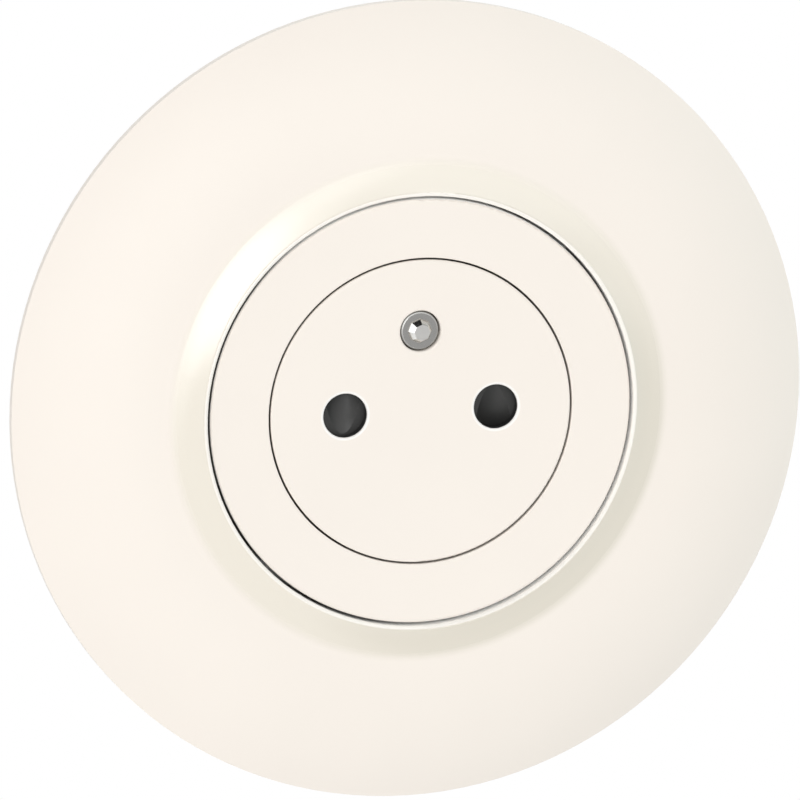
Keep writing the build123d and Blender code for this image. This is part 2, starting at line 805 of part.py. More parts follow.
# Earth pin: turned, with a rounded shoulder, a faceted tip and a riveted tail
pin_front_y = face_y + earth_pin_sunk
rivet_y = earth_flange_y + earth_flange_wall + contact_wall
with BuildPart() as earth_pin:
    with BuildSketch(Plane(origin=(0, 0, earth_offset))) as pin_profile:
        with BuildLine():
            Polyline(
                (0, pin_front_y),
                (earth_pin_d / 2, pin_front_y),
                (earth_pin_d / 2, earth_flange_y),
                (earth_flange_d / 2, earth_flange_y),
                (earth_flange_d / 2, earth_flange_y + earth_flange_wall),
                (rivet_d / 2, earth_flange_y + earth_flange_wall),
                (rivet_d / 2, rivet_y),
                (rivet_head_d / 2, rivet_y),
                (rivet_head_d / 2 - rivet_head_edge, rivet_y + rivet_head_height),
                (0, rivet_y + rivet_head_height),
                close=True,
            )
        make_face()
        fillet(pin_profile.vertices().group_by(Axis.Y)[0].sort_by(Axis.X)[-1], radius=earth_pin_edge)
    revolve(axis=Axis((0, 0, earth_offset), (0, 1, 0)))
    with BuildSketch(at_depth(pin_front_y)):
        with Locations((0, earth_offset)):
            RegularPolygon(facet_base_d / 2, facet_count)
    with BuildSketch(at_depth(pin_front_y - facet_height)):
        with Locations((0, earth_offset)):
            RegularPolygon(facet_tip_d / 2, facet_count)
    loft()

earth_pin.part.label = "earth_pin"
export_step(earth_pin.part, "parts/earth_pin.step")

# Earth strap: from the pin's rivet up and back to the earth terminal
strap_y = earth_flange_y + earth_flange_wall + contact_wall / 2
strap_low_z = earth_offset - rivet_head_d / 2 - strap_overlap
strap_plate_z = earth_terminal_z - contact_wall / 2
with BuildPart() as earth_strap:
    with BuildSketch(Plane.YZ):
        with BuildLine():
            FilletPolyline(
                (strap_y, strap_low_z),
                (strap_y, strap_plate_z),
                (contact_rear_y, strap_plate_z),
                radius=contact_bend,
            )
        trace(line_width=contact_wall)
    extrude(amount=earth_strap_width / 2, both=True)
    with BuildSketch(at_depth(strap_y + contact_wall / 2)):
        with Locations((0, earth_offset)):
            Circle(rivet_d / 2 + rivet_play)
    extrude(amount=contact_wall, mode=Mode.SUBTRACT)

earth_strap.part.label = "earth_strap"
export_step(earth_strap.part, "parts/earth_strap.step")

# Clamp springs and release buttons, one of each at every terminal
clamp_root_y = contact_rear_y - clamp_rear_play
names = ("line", "neutral", "earth")
for name, (center_x, plate_z, side) in zip(names, terminals):
    floor_z = plate_z + side * (terminal_pocket_height - clamp_floor_play - clamp_wall / 2)
    tip_z = plate_z + side * (clamp_wall / 2 + clamp_tip_gap)
    with BuildPart() as clamp_spring:
        with BuildSketch(Plane.YZ.offset(center_x)):
            with BuildLine():
                FilletPolyline(
                    (terminal_floor_y + clamp_start, floor_z),
                    (clamp_root_y, floor_z),
                    (clamp_root_y, plate_z + side * clamp_knee),
                    (clamp_root_y - clamp_tongue, tip_z),
                    radius=clamp_bend,
                )
            trace(line_width=clamp_wall)
        extrude(amount=clamp_width / 2, both=True)
    clamp_spring.part.label = name + "_clamp_spring"
    export_step(clamp_spring.part, "parts/" + name + "_clamp_spring.step")

    flange_rear_y = block_rear_y - clamp_rear_play
    flange_front_y = flange_rear_y - release_flange_wall
    near_z = plate_z + side * (release_z - release_height / 2)
    far_z = plate_z + side * (release_z + release_height / 2)
    nose_y = clamp_root_y - release_nose_depth
    with BuildPart() as release:
        with BuildSketch(Plane.YZ.offset(center_x)) as release_profile:
            with BuildLine():
                Polyline(
                    (rear_y + release_proud, near_z),
                    (rear_y + release_proud, far_z),
                    (flange_rear_y, far_z),
                    (flange_rear_y, far_z + side * release_flange),
                    (flange_front_y, far_z + side * release_flange),
                    (flange_front_y, far_z - side * release_nose_step),
                    (nose_y, plate_z + side * release_nose_z),
                    (nose_y, near_z),
                    (flange_front_y, near_z),
                    (flange_front_y, near_z - side * release_flange),
                    (flange_rear_y, near_z - side * release_flange),
                    (flange_rear_y, near_z),
                    close=True,
                )
            make_face()
            fillet(release_profile.vertices().group_by(Axis.X)[-1], radius=release_edge)
        extrude(amount=release_width / 2, both=True)
    release.part.label = name + "_release"
    export_step(release.part, "parts/" + name + "_release.step")
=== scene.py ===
"""Flush wall socket with a retracting well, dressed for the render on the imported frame."""

import json
from math import cos, pi, radians, sin

import bmesh
import bpy
from mathutils import Matrix, Vector


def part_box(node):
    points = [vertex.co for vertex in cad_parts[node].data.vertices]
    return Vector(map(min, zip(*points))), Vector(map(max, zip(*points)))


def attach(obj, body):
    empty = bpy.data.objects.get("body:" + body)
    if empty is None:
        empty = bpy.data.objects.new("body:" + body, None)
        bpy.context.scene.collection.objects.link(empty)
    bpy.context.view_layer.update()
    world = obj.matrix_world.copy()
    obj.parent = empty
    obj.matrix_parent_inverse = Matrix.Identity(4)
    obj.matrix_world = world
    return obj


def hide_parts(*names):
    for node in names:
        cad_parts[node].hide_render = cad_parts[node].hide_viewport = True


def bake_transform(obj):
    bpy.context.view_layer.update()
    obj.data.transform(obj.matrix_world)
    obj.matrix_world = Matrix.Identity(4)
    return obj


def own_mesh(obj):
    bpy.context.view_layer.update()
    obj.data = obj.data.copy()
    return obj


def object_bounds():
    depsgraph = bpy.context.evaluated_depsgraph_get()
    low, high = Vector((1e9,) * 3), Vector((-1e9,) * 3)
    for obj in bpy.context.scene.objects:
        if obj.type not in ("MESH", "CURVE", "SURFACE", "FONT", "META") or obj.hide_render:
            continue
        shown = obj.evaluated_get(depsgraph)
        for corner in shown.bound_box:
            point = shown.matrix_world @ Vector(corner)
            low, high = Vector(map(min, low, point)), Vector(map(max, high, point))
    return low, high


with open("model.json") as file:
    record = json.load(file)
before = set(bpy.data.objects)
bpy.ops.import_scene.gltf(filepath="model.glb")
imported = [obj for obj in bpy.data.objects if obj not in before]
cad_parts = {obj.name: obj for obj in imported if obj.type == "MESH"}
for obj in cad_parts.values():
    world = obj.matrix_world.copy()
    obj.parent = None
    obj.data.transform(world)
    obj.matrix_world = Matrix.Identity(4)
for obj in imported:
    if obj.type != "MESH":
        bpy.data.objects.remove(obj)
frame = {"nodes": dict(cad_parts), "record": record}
nodes = frame["nodes"]
cad_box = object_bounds()

MM = 0.001
white = (1.0, 1.0, 1.0)

# Places of pieces read from the frame, in metres
disc_low, disc_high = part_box("well_disc")
cover_low, cover_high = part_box("socket_cover")
pin_low, pin_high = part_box("earth_pin")
spring_low, spring_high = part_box("return_spring")
pin_axis_z = (pin_low.z + pin_high.z) / 2
mounts = {mount["name"]: mount for mount in frame["record"]["mounts"]}
pin_hole = mounts["right_pin_hole"]

# The front in millimetres: depths run back along y, radii run from the socket's axis
front_face = disc_low.y / MM
disc_radius = disc_high.x / MM
cover_radius = (cover_high.x - cover_low.x) / 2 / MM
hole_x = pin_hole["pos_m"][0] / MM
hole_radius = pin_hole["dims"]["r_mm"]

# Rings of the front, each from one radius to another: painted shade in the gaps and on the collar,
# which is also polished, painted light on the gap walls, and a painted highlight on the lip
disc_gap = (disc_radius - 0.1, disc_radius + 0.05)
cover_gap = (cover_radius - 0.2, cover_radius + 0.15)
gap_walls = (cover_radius - 0.2, cover_radius + 0.45)
lip = (cover_radius + 0.3, cover_radius + 0.7)
collar = (cover_radius + 0.9, cover_radius + 3.7)

# Soft edges of these rings, in millimetres
gap_edge = 0.02
lip_inner_edge = 0.04
lip_outer_edge = 0.15
collar_inner_edge = 0.25
collar_outer_edge = 1.6

# Depths behind the front face at which the painted light or shade inside a gap or a hole starts and
# is full
gap_wall_depths = (0.15, 0.25)
gap_shade_depths = (0.2, 0.45)
hole_shade_depths = (0.2, 0.3)

# Painted shade lies in the left half of the gap round the cover: full and none of it, by x plus a
# share of z
gap_shade_reach = (-18.0, -8.0)
gap_shade_lean = 0.3

# Distances from a pin hole's axis at which its painted shade and the painted highlight on its
# rounded edge end
hole_shade_reach = (hole_radius + 0.05, hole_radius + 0.08)
hole_highlight_reach = (hole_radius + 0.2, hole_radius + 0.42)

# The earth pin: depths behind its tip where the flat and the facets end, radii where its rim starts
pin_flat_end = (0.02, 0.06)
pin_facets_end = (1.1, 1.15)
pin_rim_start = (2.12, 2.25)

ivory = (0.862, 0.8, 0.735)
# Painted shade: the collar's colour, darker than the ivory
collar_shade_color = (0.757, 0.702, 0.602)
# Painted highlight: the lip's colour, lighter than the ivory
lip_highlight_color = (0.89, 0.855, 0.8)
# Painted light: the gap walls' colour, lighter than the ivory
gap_wall_light_color = (0.96, 0.95, 0.93)
# Painted shade in the gaps
gap_shade_color = (0.12, 0.115, 0.1)
# Painted highlight on the rounded edges of the pin holes
hole_rim_highlight_color = (0.93, 0.905, 0.875)
# Painted shade on the walls of the pin holes
hole_shade_color = (0.02, 0.02, 0.02)
nickel = (0.74, 0.73, 0.71)
pin_flat_color = (0.7, 0.69, 0.675)
# Painted shade: the earth pin's facets and rim, darker than the nickel
pin_facet_shade_color = (0.6, 0.6, 0.59)
pin_rim_shade_color = (0.42, 0.42, 0.41)
brass = (0.83, 0.63, 0.3)
tarnished_brass = (0.66, 0.47, 0.22)
steel = (0.6, 0.6, 0.61)
dull_steel = (0.46, 0.45, 0.44)
zinc = (0.68, 0.69, 0.7)
near_black = (0.03, 0.03, 0.029)
body_grey = (0.66, 0.65, 0.61)
line_red = (0.45, 0.05, 0.03)
neutral_blue = (0.035, 0.13, 0.42)
earth_green = (0.08, 0.28, 0.06)


# Shader building blocks

# The middle range that a texture's values mostly keep to
texture_low = 0.3
texture_high = 0.7


def new_material(name):
    """An empty node material: its tree, and a Principled shader wired to the output."""
    material = bpy.data.materials.new(name)
    material.use_nodes = True
    tree = material.node_tree
    tree.nodes.clear()
    output = tree.nodes.new("ShaderNodeOutputMaterial")
    shader = tree.nodes.new("ShaderNodeBsdfPrincipled")
    tree.links.new(shader.outputs["BSDF"], output.inputs["Surface"])
    return material, tree, shader


def millimetres(tree, stretch=(1, 1, 1), center=(0, 0, 0)):
    """Object coordinates in millimetres from a centre in metres, stretched along each axis."""
    position = tree.nodes.new("ShaderNodeTexCoord")
    mapping = tree.nodes.new("ShaderNodeMapping")
    mapping.vector_type = "POINT"
    scale = [share / MM for share in stretch]
    shift = [-middle * factor for middle, factor in zip(center, scale)]
    mapping.inputs["Scale"].default_value = scale
    mapping.inputs["Location"].default_value = shift
    tree.links.new(position.outputs["Object"], mapping.inputs["Vector"])
    return mapping.outputs["Vector"]


def split(tree, place):
    """The x, y and z of a place."""
    apart = tree.nodes.new("ShaderNodeSeparateXYZ")
    tree.links.new(place, apart.inputs["Vector"])
    return apart.outputs["X"], apart.outputs["Y"], apart.outputs["Z"]


def math_node(tree, operation, *values):
    """A Math node fed with numbers or other nodes' outputs."""
    node = tree.nodes.new("ShaderNodeMath")
    node.operation = operation
    for socket, value in zip(node.inputs, values):
        if isinstance(value, (int, float)):
            socket.default_value = value
        else:
            tree.links.new(value, socket)
    return node.outputs["Value"]


def times(tree, first, second):
    """Product of two masks or numbers."""
    return math_node(tree, "MULTIPLY", first, second)


def inverse(tree, mask):
    """0 where a mask is 1, and 1 where it is 0."""
    return math_node(tree, "SUBTRACT", 1.0, mask)


def length(tree, x, z):
    """Distance from the axis of x and z."""
    square_x = math_node(tree, "POWER", x, 2.0)
    square_z = math_node(tree, "POWER", z, 2.0)
    return math_node(tree, "SQRT", math_node(tree, "ADD", square_x, square_z))


def fade(tree, value, full, none):
    """1 up to full, 0 from none on, with a soft step between them."""
    step = tree.nodes.new("ShaderNodeMapRange")
    step.interpolation_type = "SMOOTHSTEP"
    step.inputs["From Min"].default_value = full
    step.inputs["From Max"].default_value = none
    step.inputs["To Min"].default_value = 1
    step.inputs["To Max"].default_value = 0
    tree.links.new(value, step.inputs["Value"])
    return step.outputs["Result"]


def band(tree, value, ring, inner_edge, outer_edge):
    """1 on a ring, from its low to its high radius, with soft edges that lie outside it."""
    low, high = ring
    up_to_high = fade(tree, value, high, high + outer_edge)
    from_low = inverse(tree, fade(tree, value, low - inner_edge, low))
    return times(tree, up_to_high, from_low)


def deeper(tree, depth, start, full):
    """0 down to one depth behind the front face, 1 from another on, with a soft step between."""
    return inverse(tree, fade(tree, depth, front_face + start, front_face + full))


def noise(tree, vector, size, detail=3.0, roughness=0.55):
    """Noise whose features are about size millimetres wide."""
    texture = tree.nodes.new("ShaderNodeTexNoise")
    texture.inputs["Scale"].default_value = 1 / size
    texture.inputs["Detail"].default_value = detail
    texture.inputs["Roughness"].default_value = roughness
    tree.links.new(vector, texture.inputs["Vector"])
    return texture.outputs["Fac"]


def cells(tree, vector, size):
    """Random value per cell, about size millimetres wide, such as the spangle of zinc."""
    texture = tree.nodes.new("ShaderNodeTexVoronoi")
    texture.inputs["Scale"].default_value = 1 / size
    tree.links.new(vector, texture.inputs["Vector"])
    grey = tree.nodes.new("ShaderNodeRGBToBW")
    tree.links.new(texture.outputs["Color"], grey.inputs["Color"])
    return grey.outputs["Val"]


def spread(tree, value, low, high):
    """Maps a texture's middle range to low and high."""
    remap = tree.nodes.new("ShaderNodeMapRange")
    remap.inputs["From Min"].default_value = texture_low
    remap.inputs["From Max"].default_value = texture_high
    remap.inputs["To Min"].default_value = low
    remap.inputs["To Max"].default_value = high
    tree.links.new(value, remap.inputs["Value"])
    return remap.outputs["Result"]


def around(tree, value, middle, share):
    """Maps a texture to values about a middle one, by a share of it each way."""
    return spread(tree, value, middle * (1 - share), middle * (1 + share))


def shade(color, factor):
    """A colour made darker or brighter."""
    return tuple(channel * factor for channel in color)


def between(tree, value, first, second):
    """Colour between two, by a texture's middle range."""
    mix = tree.nodes.new("ShaderNodeMix")
    mix.data_type = "RGBA"
    mix.inputs["A"].default_value = (*first, 1)
    mix.inputs["B"].default_value = (*second, 1)
    tree.links.new(spread(tree, value, 0, 1), mix.inputs["Factor"])
    return mix.outputs["Result"]


def paint(tree, under, mask, color):
    """Lays a colour over what lies under it where the mask is."""
    layer = tree.nodes.new("ShaderNodeMix")
    layer.data_type = "RGBA"
    layer.inputs["B"].default_value = (*color, 1)
    tree.links.new(mask, layer.inputs["Factor"])
    tree.links.new(under, layer.inputs["A"])
    return layer.outputs["Result"]


def bumps(tree, shader, layers):
    """Stacks bump layers, each a height and its depth in millimetres."""
    normal = None
    for height, depth in layers:
        bump = tree.nodes.new("ShaderNodeBump")
        bump.inputs["Distance"].default_value = depth * MM
        tree.links.new(height, bump.inputs["Height"])
        if normal:
            tree.links.new(normal, bump.inputs["Normal"])
        normal = bump.outputs["Normal"]
    tree.links.new(normal, shader.inputs["Normal"])


# Plastics

plastic_ior = 1.5
collar_roughness = 0.25
collar_coat_roughness = 0.1
collar_coat_ior = 2.05


def gap_shade(tree, x, depth, z, radius):
    """Painted shade on the walls of the two narrow gaps: all round the disc, and at the cover's
    left.
    """
    disc_ring = band(tree, radius, disc_gap, gap_edge, gap_edge)
    cover_ring = band(tree, radius, cover_gap, gap_edge, gap_edge)
    left_side = fade(tree, math_node(tree, "MULTIPLY_ADD", z, gap_shade_lean, x), *gap_shade_reach)
    rings = math_node(tree, "ADD", disc_ring, times(tree, cover_ring, left_side))
    return times(tree, rings, deeper(tree, depth, *gap_shade_depths))


def gap_wall_light(tree, radius, depth):
    """Painted light on the walls of the gap between the cover and the plate's lip: a colour lighter
    than the ivory.
    """
    walls = band(tree, radius, gap_walls, gap_edge, gap_edge)
    return times(tree, walls, deeper(tree, depth, *gap_wall_depths))


def hole_shade(tree, reach, depth):
    """Painted shade on the walls of the two pin holes, behind their rounded edges."""
    near = fade(tree, reach, *hole_shade_reach)
    return times(tree, near, deeper(tree, depth, *hole_shade_depths))


def from_hole(tree, x, z):
    """Distance from the axis of the nearer pin hole."""
    side = math_node(tree, "SUBTRACT", math_node(tree, "ABSOLUTE", x), hole_x)
    return length(tree, side, z)


def gloss_plastic(name, color, roughness):
    """Moulded plastic: satin, with a polished collar, faint flow marks and fine hairline scuffs.
    Painted shade darkens the collar, the gaps and the pin holes; painted highlights lighten the lip
    and the pin holes' edges, and painted light the gap walls.
    """
    flow_tint = 0.985
    peel_depth = 0.0009
    grain_depth = 0.00015
    material, tree, shader = new_material(name)
    place = millimetres(tree)
    x, depth, z = split(tree, place)
    radius = length(tree, x, z)
    reach = from_hole(tree, x, z)
    # The collar has a coat and lower roughness for its polish, and a darker colour as painted shade
    # that fades out towards its outer edge
    polished_and_shaded = band(tree, radius, collar, collar_inner_edge, collar_outer_edge)
    # Painted highlight on the lip
    lip_highlight = band(tree, radius, lip, lip_inner_edge, lip_outer_edge)
    flow = noise(tree, place, size=22.0, detail=2.0)
    tone = between(tree, flow, color, shade(color, flow_tint))
    tone = paint(tree, tone, polished_and_shaded, collar_shade_color)
    tone = paint(tree, tone, lip_highlight, lip_highlight_color)
    # Painted light on the gap walls
    tone = paint(tree, tone, gap_wall_light(tree, radius, depth), gap_wall_light_color)
    # Painted shade in the gaps
    tone = paint(tree, tone, gap_shade(tree, x, depth, z, radius), gap_shade_color)
    # Painted highlight round the pin holes' edges
    tone = paint(tree, tone, fade(tree, reach, *hole_highlight_reach), hole_rim_highlight_color)
    # Painted shade in the pin holes
    tone = paint(tree, tone, hole_shade(tree, reach, depth), hole_shade_color)
    tree.links.new(tone, shader.inputs["Base Color"])
    scuff = noise(tree, millimetres(tree, stretch=(1.0, 1.0, 0.12)), size=0.9, detail=6.0)
    satin = around(tree, scuff, roughness, share=0.12)
    gloss = times(tree, polished_and_shaded, collar_roughness)
    finish = math_node(tree, "MULTIPLY_ADD", satin, inverse(tree, polished_and_shaded), gloss)
    tree.links.new(finish, shader.inputs["Roughness"])
    tree.links.new(polished_and_shaded, shader.inputs["Coat Weight"])
    shader.inputs["IOR"].default_value = plastic_ior
    shader.inputs["Coat Roughness"].default_value = collar_coat_roughness
    shader.inputs["Coat IOR"].default_value = collar_coat_ior
    peel = noise(tree, place, size=1.6, detail=1.0)
    grain = noise(tree, place, size=0.12, detail=2.0)
    bumps(tree, shader, [(peel, peel_depth), (grain, grain_depth)])
    return material


def matte_plastic(name, color, roughness, grain_depth, tint):
    """Moulded plastic with a fine eroded texture and slow colour drift from the melt."""
    sink_depth = 0.02
    material, tree, shader = new_material(name)
    place = millimetres(tree)
    flow = noise(tree, place, size=6.0, detail=4.0)
    tree.links.new(between(tree, flow, color, shade(color, tint)), shader.inputs["Base Color"])
    blotches = noise(tree, place, size=2.5, detail=3.0)
    tree.links.new(around(tree, blotches, roughness, share=0.15), shader.inputs["Roughness"])
    shader.inputs["IOR"].default_value = plastic_ior
    texture = noise(tree, place, size=0.22, detail=4.0, roughness=0.7)
    sink = noise(tree, place, size=5.0, detail=1.0)
    bumps(tree, shader, [(texture, grain_depth), (sink, sink_depth)])
    return material


# Metals


def behind_tip(tree, depth, full, none):
    """1 from the earth pin's tip back to one depth behind it, 0 from another on."""
    tip = pin_low.y / MM
    return fade(tree, depth, tip + full, tip + none)


def turned_metal(name, color):
    """Nickel plate over turned brass: rings left by the tool, and a few handling marks.

    The bump along the depth leans the cone's facets forwards, so that they mirror the room. The
    facets and the rim are painted darker than the nickel, as painted shade.
    """
    ring_scale = 3.2
    ring_distortion = 0.6
    polish = (0.09, 0.16)
    wear = 0.2
    mark_tint = 0.93
    facet_lean = 0.35
    ring_depth = 0.0004
    mark_depth = 0.0005
    material, tree, shader = new_material(name)
    place = millimetres(tree, center=(0, 0, pin_axis_z))
    x, depth, z = split(tree, place)
    rings = tree.nodes.new("ShaderNodeTexWave")
    rings.wave_type = "RINGS"
    rings.rings_direction = "Y"
    rings.inputs["Scale"].default_value = ring_scale
    rings.inputs["Distortion"].default_value = ring_distortion
    tree.links.new(place, rings.inputs["Vector"])
    marks = noise(tree, place, size=0.35, detail=5.0)
    flat = behind_tip(tree, depth, *pin_flat_end)
    facets = behind_tip(tree, depth, *pin_facets_end)
    rim = inverse(tree, fade(tree, length(tree, x, z), *pin_rim_start))
    tone = between(tree, marks, color, shade(color, mark_tint))
    # Painted shade on the rim and the facets
    tone = paint(tree, tone, rim, pin_rim_shade_color)
    tone = paint(tree, tone, facets, pin_facet_shade_color)
    tone = paint(tree, tone, flat, pin_flat_color)
    tree.links.new(tone, shader.inputs["Base Color"])
    worn = times(tree, math_node(tree, "ADD", flat, rim), wear)
    finish = math_node(tree, "ADD", spread(tree, marks, *polish), worn)
    tree.links.new(finish, shader.inputs["Roughness"])
    shader.inputs["Metallic"].default_value = 1
    turning = rings.outputs["Fac"]
    bumps(tree, shader, [(depth, facet_lean), (turning, ring_depth), (marks, mark_depth)])
    return material


def strip_metal(name, color, tarnish, roughness):
    """Rolled or drawn metal: scratches from front to back, and patches that have dulled."""
    scratch_depth = 0.0012
    material, tree, shader = new_material(name)
    drawn = millimetres(tree, stretch=(1.0, 0.06, 1.0))
    lines = noise(tree, drawn, size=0.16, detail=5.0, roughness=0.7)
    dull = noise(tree, millimetres(tree), size=2.2, detail=4.0)
    tree.links.new(between(tree, dull, color, tarnish), shader.inputs["Base Color"])
    tree.links.new(around(tree, lines, roughness, share=0.25), shader.inputs["Roughness"])
    shader.inputs["Metallic"].default_value = 1
    bumps(tree, shader, [(lines, scratch_depth)])
    return material


def zinc_metal(name, color):
    """Zinc-plated pressed steel: spangled patches, rolling lines and a dull cast."""
    polish = (0.3, 0.48)
    spangle_tint = 0.9
    line_depth = 0.002
    pit_depth = 0.004
    material, tree, shader = new_material(name)
    spangle = cells(tree, millimetres(tree), size=1.3)
    tone = between(tree, spangle, color, shade(color, spangle_tint))
    tree.links.new(tone, shader.inputs["Base Color"])
    rolled = millimetres(tree, stretch=(0.08, 1.0, 1.0))
    lines = noise(tree, rolled, size=0.2, detail=5.0, roughness=0.7)
    tree.links.new(spread(tree, lines, *polish), shader.inputs["Roughness"])
    shader.inputs["Metallic"].default_value = 1
    pits = noise(tree, millimetres(tree), size=0.7, detail=4.0)
    bumps(tree, shader, [(lines, line_depth), (pits, pit_depth)])
    return material


# One material for each slot of the record

materials = {
    "ivory_plastic": gloss_plastic("ivory_plastic", ivory, roughness=0.42),
    "dark_plastic": matte_plastic(
        "dark_plastic", near_black, roughness=0.42, grain_depth=0.0015, tint=0.9
    ),
    "body_plastic": matte_plastic(
        "body_plastic", body_grey, roughness=0.5, grain_depth=0.006, tint=0.95
    ),
    "nickel_plate": turned_metal("nickel_plate", nickel),
    "contact_brass": strip_metal("contact_brass", brass, tarnished_brass, roughness=0.26),
    "spring_steel": strip_metal("spring_steel", steel, dull_steel, roughness=0.22),
    "zinc_steel": zinc_metal("zinc_steel", zinc),
}
buttons = {"line": line_red, "neutral": neutral_blue, "earth": earth_green}
for pole, color in buttons.items():
    slot = pole + "_button_plastic"
    materials[slot] = matte_plastic(slot, color, roughness=0.4, grain_depth=0.003, tint=0.9)

# Each CAD node takes the material of its slot in the record
for piece in frame["record"]["subparts"]:
    mesh = nodes[piece["node"]].data
    mesh.materials.clear()
    mesh.materials.append(materials[piece["material_slot"]])


# Return spring: drawn with its end turns closed

coil_turns_free = 6.0
coil_turns_closed = 1.0
coil_steps = 48
wire_steps = 14
wire_radius = 0.4 * MM
closed_pitch = 2.05 * wire_radius
coil_radius = (spring_high.x - spring_low.x) / 2 - wire_radius


def spring_height(turn):
    """Place along y after so many turns: closed turns at the spring's ends, free ones between."""
    low = spring_low.y + wire_radius
    high = spring_high.y - wire_radius
    free_pitch = (high - low - 2 * coil_turns_closed * closed_pitch) / coil_turns_free
    closed = min(turn, coil_turns_closed)
    free = min(max(turn - coil_turns_closed, 0), coil_turns_free)
    closed_again = max(turn - coil_turns_closed - coil_turns_free, 0)
    return low + closed_pitch * (closed + closed_again) + free_pitch * free


def coil_spring(name):
    """The wire of the return spring as one closed tube, in the socket's own frame."""
    turns = coil_turns_free + 2 * coil_turns_closed
    count = int(turns * coil_steps)
    mesh = bmesh.new()
    previous = None
    for step in range(count + 1):
        turn = turns * step / count
        angle = 2 * pi * turn
        outward = Vector((cos(angle), 0, sin(angle)))
        middle = outward * coil_radius + Vector((0, spring_height(turn), 0))
        ring = []
        for here in range(wire_steps):
            round_wire = 2 * pi * here / wire_steps
            across = outward * cos(round_wire) * wire_radius
            lengthways = Vector((0, sin(round_wire) * wire_radius, 0))
            ring.append(mesh.verts.new(middle + across + lengthways))
        if previous:
            for here in range(wire_steps):
                after = (here + 1) % wire_steps
                mesh.faces.new((previous[here], previous[after], ring[after], ring[here]))
        else:
            mesh.faces.new(ring)
        previous = ring
    mesh.faces.new(reversed(previous))
    bmesh.ops.recalc_face_normals(mesh, faces=mesh.faces)
    for face in mesh.faces:
        face.smooth = True
    data = bpy.data.meshes.new(name)
    mesh.to_mesh(data)
    mesh.free()
    data.materials.append(materials["spring_steel"])
    piece = bpy.data.objects.new(name, data)
    bpy.context.scene.collection.objects.link(piece)
    return piece


coil = coil_spring("return_coil")
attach(coil, "frame")
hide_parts("return_spring")
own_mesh(coil)


# Clamp springs: the nose of a pressed button bends the tongue, so its strip gets short faces

# Where the bend starts and ends, from the strip's fixed end
bend_start = 2.75 * MM
bend_end = 5.55 * MM
bend_cuts = 8


def clamp_strip(pole):
    """The pole's clamp spring, cut into short faces between its fixed strip and the button's nose.
    """
    node = nodes[pole + "_clamp_spring"]
    low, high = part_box(pole + "_clamp_spring")
    fixed, side = (high.z, -1) if pole == "earth" else (low.z, 1)
    mesh = bmesh.new()
    mesh.from_mesh(node.data)
    mesh.transform(node.matrix_world)
    first = Vector((0, 0, fixed + side * bend_start))
    last = Vector((0, 0, fixed + side * bend_end))
    for cut in range(bend_cuts + 1):
        bmesh.ops.bisect_plane(
            mesh,
            geom=mesh.verts[:] + mesh.edges[:] + mesh.faces[:],
            plane_co=first.lerp(last, cut / bend_cuts),
            plane_no=(0, 0, 1),
        )
    data = node.data.copy()
    mesh.to_mesh(data)
    mesh.free()
    strip = bpy.data.objects.new(pole + "_clamp_strip", data)
    bpy.context.scene.collection.objects.link(strip)
    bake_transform(strip)
    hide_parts(node.name)


for pole in buttons:
    clamp_strip(pole)


# Studio: a white backdrop and floor, and a room of soft light that the surfaces mirror


def facing(azimuth, elevation):
    """Direction from the socket to the room: azimuth to the right of the front, elevation up."""
    aside = radians(azimuth)
    rise = radians(elevation)
    return Vector((sin(aside) * cos(rise), -cos(aside) * cos(rise), sin(rise)))


# A broad wall of light stands at the upper left, with a brighter core. Each pair says how far a
# direction points along an axis where the light is full, and where it ends
right_and_down = Vector((1, 0, -1)).normalized()
right_and_up = Vector((1, 0, 1)).normalized()
forwards = Vector((0, -1, 0))
backwards = Vector((0, 1, 0))
front_half = (0.25, -0.1)
wall_edge = (0.461, 0.689)
wall_strength = 0.523
core_center = -0.198
core_half_width = (0.12, 0.4)
core_half_length = (0.2035, 0.407)
core_strength = 0.731
ambient_strength = 0.523
warm = (1.032, 1.0, 0.985)
cool = (0.972, 1.0, 0.999)
sea_green = (0.4, 1.0, 1.1)

# Softboxes and black flags: where each stands, its outer and inner angle, and its strength
softboxes = (
    (facing(-76, 15.5), 14, 8, 1.2),
    (facing(-86, -36), 16, 4, 0.8),
    (facing(-15, 8.5), 17, 5, 1.3),
    (facing(23, 19), 26, 8, 0.45),
    (facing(10, -82), 35, 15, 0.35),
    (facing(150, 30), 60, 15, 0.9),
)
flags = (
    (facing(15, -13.5), 16, 7, 0.62),
    (facing(-47.5, 71.4), 20, 11, 0.97),
    (facing(88, 49), 24, 12, 0.6),
)

# A faint coloured fill from the right: where it stands, its outer and inner angle
side_fill = (facing(108, 12), 62, 25)
side_fill_strength = 0.28

# Reflections show the white backdrop where they point back: fully, and not at all
backdrop_reach = (0.9, 0.5)


def along(tree, direction, axis):
    """How far a direction points along an axis."""
    dot = tree.nodes.new("ShaderNodeVectorMath")
    dot.operation = "DOT_PRODUCT"
    dot.inputs[1].default_value = axis
    tree.links.new(direction, dot.inputs[0])
    return dot.outputs["Value"]


def spot(tree, direction, toward, wide, tight):
    """Soft round patch of the room round a direction, from nothing at wide to full at tight."""
    near = along(tree, direction, toward)
    return fade(tree, near, cos(radians(tight)), cos(radians(wide)))


def add_light(tree, total, mask, color, strength):
    """The room's light so far, with a light of that colour and strength added where its mask is."""
    light = tree.nodes.new("ShaderNodeVectorMath")
    light.operation = "MULTIPLY_ADD"
    light.inputs[1].default_value = shade(color, strength)
    tree.links.new(mask, light.inputs[0])
    if isinstance(total, tuple):
        light.inputs[2].default_value = total
    else:
        tree.links.new(total, light.inputs[2])
    return light.outputs["Vector"]


def wall_of_light(tree, direction):
    """Mask of the broad wall of light."""
    front = fade(tree, along(tree, direction, forwards), *front_half)
    return times(tree, fade(tree, along(tree, direction, right_and_down), *wall_edge), front)


